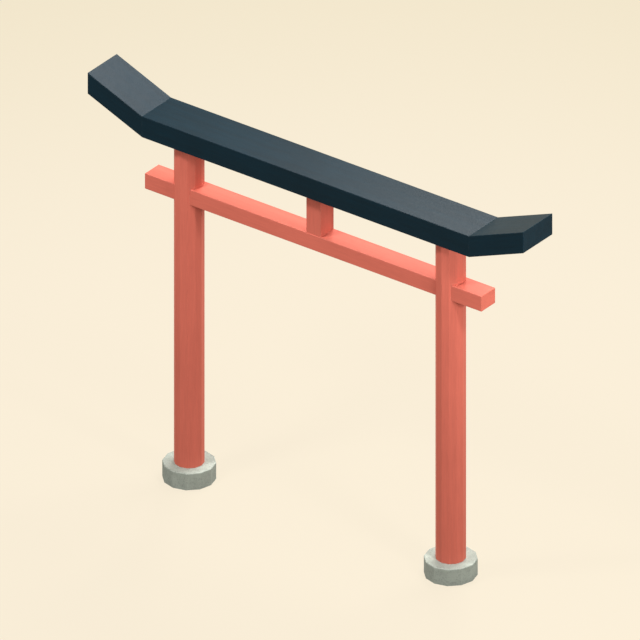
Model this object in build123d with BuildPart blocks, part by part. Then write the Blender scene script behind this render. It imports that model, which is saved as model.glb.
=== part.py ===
from build123d import *
import os

# Torii gate of painted timber on two stone bases, in millimetres.
# +X runs along the lintel, +Y away from the approach and +Z up.
# The origin lies on the ground, midway between the posts.

# Posts: twelve-sided timbers, a corner of the section on the X axis
side_count = 12
post_diameter = 300.0           # across opposite corners
post_spacing = 3178.0           # between the centres of the two posts
post_tenon_side = 110.0         # square tenon that stands on the post's head
post_tenon_length = 120.0

# Base stones: low twelve-sided blocks, each with a blind socket for a post's foot
base_diameter = 528.0           # across opposite corners
base_height = 182.0
base_arris = 6.0                # worn edge round the top of the stone
socket_depth = 110.0

# Tie beam: one timber that passes right through both posts
headroom = 3113.0               # from the ground up to the underside of the beam
beam_width = 226.0              # from front to back
beam_height = 170.0
beam_overhang = 457.0           # past the centre of a post

# Wedges: driven above the tie beam from both sides of a post and cut off flush
wedge_root = 12.0               # thickness that the taper reaches at the centre of the post
wedge_head = 25.0               # thickness where it comes out at the corner of the post
wedge_start = 15.0              # from the centre of the post to the thin end

# Strut: the short king post between the tie beam and the lintel
strut_width = 177.0             # along the lintel
strut_depth = 213.0             # from front to back
strut_height = 475.0            # clear space between the beam and the lintel
strut_tenon_width = 60.0
strut_tenon_depth = 110.0
strut_tenon_length = 50.0

# Lintel: a level middle timber and two ends that sweep up from vertical joints
lintel_depth = 475.0            # from front to back
lintel_height = 235.0
lintel_overhang = 397.0         # from the centre of a post out to the joint
lintel_end_run = 662.0
lintel_end_rise = 265.0
tongue_width = 150.0            # tenon of a raised end, from front to back
tongue_height = 90.0
tongue_length = 180.0

# Fits
fit_gap = 1.0                   # play on each side of a tenon, a foot or the tie beam
end_gap = 3.0                   # space past the end of a tenon in its blind mortise
timber_arris = 4.0              # eased edge of the sawn timbers

# Places that follow from the sizes above
post_radius = post_diameter / 2
post_x = post_spacing / 2
foot_level = base_height - socket_depth
beam_top = headroom + beam_height
lintel_underside = beam_top + strut_height
lintel_top = lintel_underside + lintel_height
lintel_middle = (lintel_underside + lintel_top) / 2
joint_x = post_x + lintel_overhang
beam_length = post_spacing + 2 * beam_overhang
cut_reach = 2 * post_radius     # a cut through a post runs this far each way from its centre

sides = {"left": -1, "right": 1}


def side_view(x, z):
    """Upright plane seen from the approach: its x is +X and its y is +Z."""
    return Plane(origin=(x, 0, z), x_dir=(1, 0, 0), z_dir=(0, -1, 0))


def joint_plane(side):
    """Plane of the joint between the lintel's middle and one end, facing the middle."""
    return Plane(origin=(side * joint_x, 0, lintel_middle), x_dir=(0, 1, 0), z_dir=(-side, 0, 0))


def wedge_thickness(distance):
    """Height of the wedge's upper face over the beam, at a distance from the post's centre."""
    return wedge_root + (wedge_head - wedge_root) * distance / post_radius


def make_base_stone(side):
    """Twelve-sided stone with an eased top edge and a socket that fits the post's foot."""
    with BuildPart() as stone:
        with BuildSketch(Plane((side * post_x, 0, 0))):
            RegularPolygon(base_diameter / 2, side_count)
        extrude(amount=base_height)
        chamfer(stone.faces().sort_by(Axis.Z)[-1].edges(), base_arris)
        with BuildSketch(Plane((side * post_x, 0, foot_level))):
            RegularPolygon(post_radius, side_count)
            offset(amount=fit_gap, kind=Kind.INTERSECTION)
        extrude(amount=base_height, mode=Mode.SUBTRACT)
    return stone


def make_post(side):
    """Post from the floor of its socket to the lintel, with a head tenon and a wedged mortise."""
    ceiling_end = beam_height + wedge_thickness(cut_reach)
    with BuildPart() as post:
        with BuildSketch(Plane((side * post_x, 0, foot_level))):
            RegularPolygon(post_radius, side_count)
        extrude(amount=lintel_underside - foot_level)
        with BuildSketch(Plane((side * post_x, 0, lintel_underside))):
            Rectangle(post_tenon_side, post_tenon_side)
        extrude(amount=post_tenon_length)
        # The mortise has a level floor, and a ceiling that rises towards both faces
        with BuildSketch(side_view(side * post_x, headroom)):
            with BuildLine():
                Polyline(
                    (-cut_reach, 0),
                    (cut_reach, 0),
                    (cut_reach, ceiling_end),
                    (0, beam_height + wedge_root),
                    (-cut_reach, ceiling_end),
                    close=True,
                )
            make_face()
        extrude(amount=beam_width / 2 + fit_gap, both=True, mode=Mode.SUBTRACT)
    return post


def make_wedge(side, direction):
    """Wedge on top of the tie beam; direction is +1 or -1 along X from the post's centre."""
    with BuildPart() as wedge:
        with BuildSketch(side_view(side * post_x, beam_top)):
            with BuildLine():
                Polyline(
                    (direction * wedge_start, 0),
                    (direction * cut_reach, 0),
                    (direction * cut_reach, wedge_thickness(cut_reach)),
                    (direction * wedge_start, wedge_thickness(wedge_start)),
                    close=True,
                )
            make_face()
        extrude(amount=beam_width / 2, both=True)
        # Its outer end is cut off along the faces of the post
        with BuildSketch(Plane((side * post_x, 0, headroom))):
            RegularPolygon(post_radius, side_count)
        extrude(amount=lintel_underside - headroom, mode=Mode.INTERSECT)
    return wedge


def make_lintel_end(side):
    """Raised end of the lintel: upright at the joint and at the tip, sloped above and below."""
    with BuildPart() as end:
        with BuildSketch(side_view(side * joint_x, lintel_underside)):
            with BuildLine():
                Polyline(
                    (0, 0),
                    (side * lintel_end_run, lintel_end_rise),
                    (side * lintel_end_run, lintel_end_rise + lintel_height),
                    (0, lintel_height),
                    close=True,
                )
            make_face()
        extrude(amount=lintel_depth / 2, both=True)
        joint_face = end.faces().sort_by(Axis.X)[0 if side > 0 else -1]
        joint_edges = joint_face.edges()
        chamfer([edge for edge in end.edges() if edge not in joint_edges], timber_arris)
        with BuildSketch(joint_plane(side)):
            Rectangle(tongue_width, tongue_height)
        extrude(amount=tongue_length)
    return end


def save(piece, name):
    """Names a finished piece and writes it as a STEP file."""
    piece.part.label = name
    export_step(piece.part, f"parts/{name}.step")


with BuildPart() as tie_beam:
    with BuildSketch(Plane.XY.offset(headroom)):
        Rectangle(beam_length, beam_width)
    extrude(amount=beam_height)
    chamfer(tie_beam.edges(), timber_arris)
    with BuildSketch(Plane.XY.offset(beam_top)):
        Rectangle(strut_tenon_width + 2 * fit_gap, strut_tenon_depth + 2 * fit_gap)
    extrude(amount=-(strut_tenon_length + end_gap), mode=Mode.SUBTRACT)

with BuildPart() as centre_strut:
    with BuildSketch(Plane.XY.offset(beam_top)):
        Rectangle(strut_width, strut_depth)
    extrude(amount=strut_height)
    chamfer(centre_strut.edges().filter_by(Axis.Z), timber_arris)
    with BuildSketch(Plane.XY.offset(beam_top - strut_tenon_length)):
        Rectangle(strut_tenon_width, strut_tenon_depth)
    extrude(amount=strut_height + 2 * strut_tenon_length)

with BuildPart() as lintel_middle_timber:
    with BuildSketch(Plane.XY.offset(lintel_underside)):
        Rectangle(2 * joint_x, lintel_depth)
    extrude(amount=lintel_height)
    chamfer(lintel_middle_timber.edges().filter_by(Axis.X), timber_arris)
    with BuildSketch(Plane.XY.offset(lintel_underside)):
        Rectangle(strut_tenon_width + 2 * fit_gap, strut_tenon_depth + 2 * fit_gap)
    extrude(amount=strut_tenon_length + end_gap, mode=Mode.SUBTRACT)
    for side in sides.values():
        with BuildSketch(Plane((side * post_x, 0, lintel_underside))):
            Rectangle(post_tenon_side + 2 * fit_gap, post_tenon_side + 2 * fit_gap)
        extrude(amount=post_tenon_length + end_gap, mode=Mode.SUBTRACT)
        with BuildSketch(joint_plane(side)):
            Rectangle(tongue_width + 2 * fit_gap, tongue_height + 2 * fit_gap)
        extrude(amount=tongue_length + end_gap, mode=Mode.SUBTRACT)

os.makedirs("parts", exist_ok=True)
save(tie_beam, "tie_beam")
save(centre_strut, "centre_strut")
save(lintel_middle_timber, "lintel_middle")
for side_name, side in sides.items():
    save(make_base_stone(side), f"base_stone_{side_name}")
    save(make_post(side), f"post_{side_name}")
    save(make_wedge(side, side), f"wedge_{side_name}_outer")
    save(make_wedge(side, -side), f"wedge_{side_name}_inner")
    save(make_lintel_end(side), f"lintel_end_{side_name}")
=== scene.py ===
import math

import bpy
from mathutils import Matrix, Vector


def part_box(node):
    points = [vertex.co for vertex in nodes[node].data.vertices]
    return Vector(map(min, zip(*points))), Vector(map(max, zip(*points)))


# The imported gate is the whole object: every piece keeps its CAD shape, and this script gives it its
# finish, the studio and the camera. Lengths are in metres, +X along the lintel, +Z up.

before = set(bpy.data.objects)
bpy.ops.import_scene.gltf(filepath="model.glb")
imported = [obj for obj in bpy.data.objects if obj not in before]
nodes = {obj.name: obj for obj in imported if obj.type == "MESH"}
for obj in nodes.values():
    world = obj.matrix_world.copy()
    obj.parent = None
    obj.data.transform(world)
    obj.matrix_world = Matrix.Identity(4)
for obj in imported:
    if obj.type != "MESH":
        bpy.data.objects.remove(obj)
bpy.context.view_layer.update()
scene = bpy.context.scene


# ---------------------------------------------------------------- node helpers

# The sockets of a Mix node that hold its two colours and their mix
MIX_A = 6
MIX_B = 7
MIX_RESULT = 2

# An edge shows where a rounded normal turns away from the flat one: the cosine of that turn where a
# plain face ends, the one where the edge is full, and the samples that round the normal
FACE_COSINE = 0.995
EDGE_COSINE = 0.80
EDGE_SAMPLES = 4


class Finish:
    """One material and short calls for the shader nodes that it is built from. Its colour and
    roughness are the plain values under the nodes."""

    def __init__(self, name, colour, roughness):
        self.material = bpy.data.materials.new(name)
        self.material.use_nodes = True
        self.tree = self.material.node_tree
        self.shader = self.tree.nodes["Principled BSDF"]
        self.shader.inputs["Base Color"].default_value = (*colour, 1.0)
        self.shader.inputs["Roughness"].default_value = roughness

    def node(self, kind, **settings):
        """Adds a node and sets its own settings."""
        new = self.tree.nodes.new(kind)
        for key, value in settings.items():
            setattr(new, key, value)
        return new

    def put(self, socket, value):
        """Links a socket to another node's output, or sets it to a plain value."""
        if isinstance(value, bpy.types.NodeSocket):
            self.tree.links.new(value, socket)
        else:
            socket.default_value = value

    def place(self, turn=0.0, stretch=(1.0, 1.0, 1.0), shift=(0.0, 0.0, 0.0)):
        """Object coordinates, turned about Y, then scaled and shifted."""
        coordinates = self.node("ShaderNodeTexCoord").outputs["Object"]
        turned = self.node("ShaderNodeMapping")
        self.put(turned.inputs["Vector"], coordinates)
        self.put(turned.inputs["Rotation"], (0.0, turn, 0.0))
        scaled = self.node("ShaderNodeMapping")
        self.put(scaled.inputs["Vector"], turned.outputs["Vector"])
        self.put(scaled.inputs["Location"], shift)
        self.put(scaled.inputs["Scale"], stretch)
        return scaled.outputs["Vector"]

    def noise(self, vector, scale, detail, roughness):
        """Noise from 0 to 1, with its middle at 0.5."""
        new = self.node("ShaderNodeTexNoise")
        self.put(new.inputs["Vector"], vector)
        self.put(new.inputs["Scale"], scale)
        self.put(new.inputs["Detail"], detail)
        self.put(new.inputs["Roughness"], roughness)
        return new.outputs["Fac"]

    def cells(self, vector, scale):
        """Random value of the nearest Voronoi cell, from 0 to 1."""
        new = self.node("ShaderNodeTexVoronoi")
        self.put(new.inputs["Vector"], vector)
        self.put(new.inputs["Scale"], scale)
        split = self.node("ShaderNodeSeparateColor")
        self.put(split.inputs["Color"], new.outputs["Color"])
        return split.outputs["Red"]

    def ramp(self, value, low, high):
        """0 at low, 1 at high, smooth between."""
        new = self.node("ShaderNodeMapRange", interpolation_type="SMOOTHSTEP")
        self.put(new.inputs["Value"], value)
        self.put(new.inputs["From Min"], low)
        self.put(new.inputs["From Max"], high)
        return new.outputs["Result"]

    def span(self, value, low, high):
        """low where value is 0, high where it is 1, in a straight line."""
        new = self.node("ShaderNodeMapRange", clamp=False)
        self.put(new.inputs["Value"], value)
        self.put(new.inputs["To Min"], low)
        self.put(new.inputs["To Max"], high)
        return new.outputs["Result"]

    def add(self, a, b):
        new = self.node("ShaderNodeMath", operation="ADD")
        self.put(new.inputs[0], a)
        self.put(new.inputs[1], b)
        return new.outputs["Value"]

    def times(self, a, b):
        new = self.node("ShaderNodeMath", operation="MULTIPLY")
        self.put(new.inputs[0], a)
        self.put(new.inputs[1], b)
        return new.outputs["Value"]

    def blend(self, factor, a, b):
        """Colour a where factor is 0, colour b where it is 1."""
        new = self.node("ShaderNodeMix", data_type="RGBA")
        self.put(new.inputs["Factor"], factor)
        for socket, colour in ((new.inputs[MIX_A], a), (new.inputs[MIX_B], b)):
            self.put(socket, (*colour, 1.0) if isinstance(colour, tuple) else colour)
        return new.outputs[MIX_RESULT]

    def edges(self, radius):
        """1 on the edges of the piece and 0 on its faces."""
        bevel = self.node("ShaderNodeBevel", samples=EDGE_SAMPLES)
        self.put(bevel.inputs["Radius"], radius)
        flat = self.node("ShaderNodeNewGeometry").outputs["True Normal"]
        dot = self.node("ShaderNodeVectorMath", operation="DOT_PRODUCT")
        self.put(dot.inputs[0], bevel.outputs["Normal"])
        self.put(dot.inputs[1], flat)
        return self.ramp(dot.outputs["Value"], FACE_COSINE, EDGE_COSINE)

    def bump(self, height, distance):
        new = self.node("ShaderNodeBump")
        self.put(new.inputs["Height"], height)
        self.put(new.inputs["Distance"], distance)
        return new.outputs["Normal"]


def tint(colour, share):
    """A colour made brighter or darker by a share of itself."""
    return tuple(channel * (1.0 + share) for channel in colour)


def shifted(seed, steps):
    """Where a piece's patterns start, so that no two pieces have the same ones."""
    return tuple(seed * step for step in steps)


# ---------------------------------------------------------------- painted timber

# Scales of the patterns on X, Y and Z: along the grain they are drawn out
GRAIN_SCALE = 0.05
ALONG_X = (GRAIN_SCALE, 1.0, 1.0)
ALONG_Z = (1.0, 1.0, GRAIN_SCALE)

# How far the patterns shift on X, Y and Z from one timber to the next
TIMBER_STEPS = (1.7, 3.1, 2.3)

# Noises: scale per metre, detail and roughness
FIBRE = (95.0, 4.0, 0.6)
FIGURE = (16.0, 3.0, 0.5)
FADING = (1.6, 3.0, 0.55)
MOTTLE = (22.0, 4.0, 0.6)

# What each noise adds to the tone of the paint, at its lowest and at its highest
FADING_TONE = (-0.10, 0.60)
FIGURE_TONE = (-0.35, 0.35)
FIBRE_TONE = (-0.25, 0.75)

# Edges rubbed thin: their width, the range of mottle in which they come in, and how much wears off
RUBBED_WIDTH = 0.010
RUBBED_MOTTLE = (0.40, 0.60)
RUBBED_SHARE = 0.45

# The plain roughness under the nodes, how far the mottle takes the real one up and down, and the
# strength of the reflection
PAINT_ROUGHNESS = 0.60
ROUGHNESS_SPREAD = 0.05
PAINT_SHINE = 0.08

# Grain and brush marks that can be felt: the height of each, and the depth of the whole
FIBRE_RELIEF = 0.5
FIGURE_RELIEF = 0.8
PAINT_DEPTH = 0.0012


def painted_timber(name, colour, worn, fade, roughness, grain, turn, seed):
    """Brushed paint over planed timber: faint grain and brush marks along the piece, slow changes
    of tone where the paint has faded, and edges rubbed thin. fade is the share by which the tone
    changes, and roughness the value that the paint's stays near."""
    f = Finish(name, colour, PAINT_ROUGHNESS)
    shift = shifted(seed, TIMBER_STEPS)
    along = f.place(turn, grain, shift)
    even = f.place(turn, shift=shift)

    fibre = f.noise(along, *FIBRE)
    figure = f.noise(along, *FIGURE)
    fading = f.noise(even, *FADING)
    mottle = f.noise(even, *MOTTLE)

    tone = f.add(f.span(fading, *FADING_TONE), f.span(figure, *FIGURE_TONE))
    tone = f.add(tone, f.span(fibre, *FIBRE_TONE))
    coat = f.blend(f.ramp(tone, 0.0, 1.0), tint(colour, -fade), tint(colour, fade))
    rubbed = f.times(f.edges(RUBBED_WIDTH), f.ramp(mottle, *RUBBED_MOTTLE))
    coat = f.blend(f.times(rubbed, RUBBED_SHARE), coat, worn)

    smoothest, roughest = roughness - ROUGHNESS_SPREAD, roughness + ROUGHNESS_SPREAD
    f.put(f.shader.inputs["Base Color"], coat)
    f.put(f.shader.inputs["Roughness"], f.span(mottle, smoothest, roughest))
    f.put(f.shader.inputs["Specular IOR Level"], PAINT_SHINE)
    relief = f.add(f.span(fibre, 0.0, FIBRE_RELIEF), f.span(figure, 0.0, FIGURE_RELIEF))
    f.put(f.shader.inputs["Normal"], f.bump(relief, PAINT_DEPTH))
    return f.material


# ---------------------------------------------------------------- dressed stone

GRANITE = (0.392, 0.430, 0.370)
PALE_GRAIN = (0.520, 0.530, 0.480)
DARK_GRAIN = (0.150, 0.160, 0.150)

# The shift from stone to stone and the noises, as for timber, then the scales of the grains
STONE_STEPS = (1.3, 2.9, 0.7)
CLOUD = (9.0, 4.0, 0.6)
PITS = (120.0, 2.0, 0.5)
PALE_SCALE = 160.0
DARK_SCALE = 95.0

# Cloudy mottling: its range, and the tones at the two ends of it
CLOUD_RANGE = (0.30, 0.70)
CLOUD_DARKER = -0.10
CLOUD_LIGHTER = 0.08

# Grains and chipped edges: where they start and where they are full, and the most that they cover
PALE_RANGE = (0.55, 0.95)
DARK_RANGE = (0.80, 0.92)
GRAIN_SHARE = 0.30
CHIPPED_WIDTH = 0.014
CHIPPED_RANGE = (0.40, 0.60)
CHIPPED_SHARE = 0.4

# The plain roughness under the nodes, its real range, and the strength of the reflection
STONE_ROUGHNESS = 0.85
CLOUD_ROUGHNESS = (0.75, 0.95)
STONE_SHINE = 0.02

# Pits and grains that can be felt: the height of each, and the depth of the whole
PIT_RELIEF = 1.0
GRAIN_RELIEF = 0.5
STONE_DEPTH = 0.0015


def dressed_stone(name, seed):
    """Fine grey-green granite: pale and dark grains, cloudy mottling, pitting and chipped edges."""
    f = Finish(name, GRANITE, STONE_ROUGHNESS)
    even = f.place(shift=shifted(seed, STONE_STEPS))
    cloud = f.noise(even, *CLOUD)
    pale = f.cells(even, PALE_SCALE)
    dark = f.cells(even, DARK_SCALE)
    pits = f.noise(even, *PITS)

    darker, lighter = tint(GRANITE, CLOUD_DARKER), tint(GRANITE, CLOUD_LIGHTER)
    stone = f.blend(f.ramp(cloud, *CLOUD_RANGE), darker, lighter)
    stone = f.blend(f.times(f.ramp(pale, *PALE_RANGE), GRAIN_SHARE), stone, PALE_GRAIN)
    stone = f.blend(f.times(f.ramp(dark, *DARK_RANGE), GRAIN_SHARE), stone, DARK_GRAIN)
    chipped = f.times(f.edges(CHIPPED_WIDTH), f.ramp(cloud, *CHIPPED_RANGE))
    stone = f.blend(f.times(chipped, CHIPPED_SHARE), stone, PALE_GRAIN)

    f.put(f.shader.inputs["Base Color"], stone)
    f.put(f.shader.inputs["Roughness"], f.span(cloud, *CLOUD_ROUGHNESS))
    f.put(f.shader.inputs["Specular IOR Level"], STONE_SHINE)
    relief = f.add(f.span(pits, 0.0, PIT_RELIEF), f.span(pale, 0.0, GRAIN_RELIEF))
    f.put(f.shader.inputs["Normal"], f.bump(relief, STONE_DEPTH))
    return f.material


# ---------------------------------------------------------------- finishes of the gate

VERMILION = {
    "colour": (0.660, 0.158, 0.109),
    "worn": (0.760, 0.280, 0.210),
    "fade": 0.09,
    "roughness": 0.5,
}
SLATE = {
    "colour": (0.0009, 0.0128, 0.0222),
    "worn": (0.045, 0.065, 0.078),
    "fade": 0.25,
    "roughness": 0.4,
}

# The raised ends' slope, which their grain follows
_, end_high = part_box("lintel_end_right")
_, middle_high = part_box("lintel_middle")
end_run = end_high.x - middle_high.x
end_rise = end_high.z - middle_high.z
slope = math.atan2(end_rise, end_run)

# Each timber's paint, the axis that its grain follows, and the turn of that grain about Y
TIMBERS = {
    "post_left": (VERMILION, ALONG_Z, 0.0),
    "post_right": (VERMILION, ALONG_Z, 0.0),
    "tie_beam": (VERMILION, ALONG_X, 0.0),
    "centre_strut": (VERMILION, ALONG_Z, 0.0),
    "wedge_left_outer": (VERMILION, ALONG_X, 0.0),
    "wedge_left_inner": (VERMILION, ALONG_X, 0.0),
    "wedge_right_inner": (VERMILION, ALONG_X, 0.0),
    "wedge_right_outer": (VERMILION, ALONG_X, 0.0),
    "lintel_middle": (SLATE, ALONG_X, 0.0),
    "lintel_end_left": (SLATE, ALONG_X, -slope),
    "lintel_end_right": (SLATE, ALONG_X, slope),
}
STONES = ("base_stone_left", "base_stone_right")


def cover(node, material):
    """Gives a CAD piece one finish all over."""
    mesh = nodes[node].data
    mesh.materials.clear()
    mesh.materials.append(material)


for seed, (node, (finish, grain, turn)) in enumerate(TIMBERS.items(), start=1):
    cover(node, painted_timber(f"{node}_paint", grain=grain, turn=turn, seed=seed, **finish))
for seed, node in enumerate(STONES, start=1):
    cover(node, dressed_stone(f"{node}_granite", seed))


# ---------------------------------------------------------------- studio

FLOOR_WIDTH = 160.0

# The floor's paint, and the share of the light it would throw back that reaches the object
FLOOR_PAINT = (0.370, 0.330, 0.260)
FLOOR_RETURN = 0.5

# The plain colours in which the floor is seen, near the gate and far from it, the far one being
# painted shade in place of the lamps' fall-off, the distances between which one becomes the other,
# and their share beside the paint, which takes the shadow
FLOOR_GLOW = (1.014, 0.909, 0.730)
FAR_SHADED_GLOW = (0.956, 0.853, 0.640)
GLOW_RANGE = (5.0, 13.0)
GLOW_SHARE = 0.85

# The colour seen beyond the floor, and the strength of the white light from all round
BACKDROP = (0.836, 0.749, 0.566)
WORLD_STRENGTH = 0.45


def seen_rays(tree):
    """1 for rays from the camera and for those that reach the background by reflection or through
    glass, 0 for the rays that light the object."""
    path = tree.nodes.new("ShaderNodeLightPath").outputs
    seen = path["Is Camera Ray"]
    for kind in ("Is Glossy Ray", "Is Transmission Ray"):
        either = tree.nodes.new("ShaderNodeMath")
        either.operation = "MAXIMUM"
        tree.links.new(seen, either.inputs[0])
        tree.links.new(path[kind], either.inputs[1])
        seen = either.outputs["Value"]
    return seen


def add_floor():
    """Pale floor at ground level, with painted shade that deepens its tone far from the gate. It is
    seen in its plain colours with a soft shadow on it, and throws part of its light back on the
    object."""
    bpy.ops.mesh.primitive_plane_add(size=FLOOR_WIDTH)
    floor = bpy.context.object
    floor.name = "studio_floor"
    f = Finish("studio_floor", FLOOR_PAINT, 1.0)
    seen = seen_rays(f.tree)
    lit = tint(FLOOR_PAINT, FLOOR_RETURN - 1.0)
    f.put(f.shader.inputs["Base Color"], f.blend(seen, lit, FLOOR_PAINT))
    f.put(f.shader.inputs["Specular IOR Level"], 0.0)
    distance = f.node("ShaderNodeVectorMath", operation="LENGTH")
    f.put(distance.inputs[0], f.place())
    # Painted shade: the seen colour darkens with the distance from the gate, standing in for the
    # lamps' fall-off
    far = f.ramp(distance.outputs["Value"], *GLOW_RANGE)
    glow = f.node("ShaderNodeEmission")
    f.put(glow.inputs["Color"], f.blend(far, FLOOR_GLOW, FAR_SHADED_GLOW))
    mix = f.node("ShaderNodeMixShader")
    f.put(mix.inputs["Fac"], f.times(seen, GLOW_SHARE))
    f.put(mix.inputs[1], f.shader.outputs["BSDF"])
    f.put(mix.inputs[2], glow.outputs["Emission"])
    f.put(f.tree.nodes["Material Output"].inputs["Surface"], mix.outputs["Shader"])
    floor.data.materials.append(f.material)


def add_world():
    """Even white light from all round, with the backdrop's pale colour behind the object."""
    world = bpy.data.worlds.new("studio_light")
    world.use_nodes = True
    scene.world = world
    tree = world.node_tree
    light = tree.nodes["Background"]
    light.inputs["Color"].default_value = (1.0, 1.0, 1.0, 1.0)
    light.inputs["Strength"].default_value = WORLD_STRENGTH
    backdrop = tree.nodes.new("ShaderNodeBackground")
    backdrop.inputs["Color"].default_value = (*BACKDROP, 1.0)
    mix = tree.nodes.new("ShaderNodeMixShader")
    tree.links.new(seen_rays(tree), mix.inputs["Fac"])
    tree.links.new(light.outputs["Background"], mix.inputs[1])
    tree.links.new(backdrop.outputs["Background"], mix.inputs[2])
    tree.links.new(mix.outputs["Shader"], tree.nodes["World Output"].inputs["Surface"])


# Square lamps that all face one point within the gate: place, width, and power in watts
LAMP_AIM = Vector((0.0, 0.0, 2.5))
LAMPS = {
    "back_light": ((0.6, 7.0, 14.5), 6.0, 1710.0),
    "end_light": ((-4.3, 8.2, 12.7), 2.5, 800.0),
    "key_light": ((6.4, -1.5, 8.5), 0.8, 185.0),
    "side_light": ((6.6, -1.2, 4.3), 1.0, 175.0),
    "fill_light": ((-3.4, -5.2, 10.8), 1.4, 560.0),
    "front_light": ((-2.7, -7.5, 9.2), 1.4, 155.0),
}


def add_lamp(name, place, width, power):
    data = bpy.data.lights.new(name, "AREA")
    data.size = width
    data.energy = power
    lamp = bpy.data.objects.new(name, data)
    lamp.visible_camera = False
    lamp.location = place
    lamp.rotation_mode = "QUATERNION"
    lamp.rotation_quaternion = (LAMP_AIM - Vector(place)).to_track_quat("-Z", "Y")
    scene.collection.objects.link(lamp)


add_floor()
add_world()
for name, (place, width, power) in LAMPS.items():
    add_lamp(name, place, width, power)


# ---------------------------------------------------------------- camera

# The view is without perspective: 36.87 degrees round from the front and 29.25 above the ground
VIEW_ROUND = math.atan2(3.0, 4.0)
VIEW_ABOVE = math.atan(0.56)
VIEW_WIDTH = 6.2215
VIEW_CENTRE = Vector((0.0, 0.0, 2.2856))
CAMERA_DISTANCE = 20.0


def add_camera():
    data = bpy.data.cameras.new("camera")
    data.type = "ORTHO"
    data.ortho_scale = VIEW_WIDTH
    camera = bpy.data.objects.new("camera", data)
    back = Vector((
        math.sin(VIEW_ROUND) * math.cos(VIEW_ABOVE),
        -math.cos(VIEW_ROUND) * math.cos(VIEW_ABOVE),
        math.sin(VIEW_ABOVE),
    ))
    camera.location = VIEW_CENTRE + back * CAMERA_DISTANCE
    camera.rotation_mode = "QUATERNION"
    camera.rotation_quaternion = (-back).to_track_quat("-Z", "Y")
    scene.collection.objects.link(camera)
    scene.camera = camera


add_camera()
scene.view_settings.view_transform = "Standard"
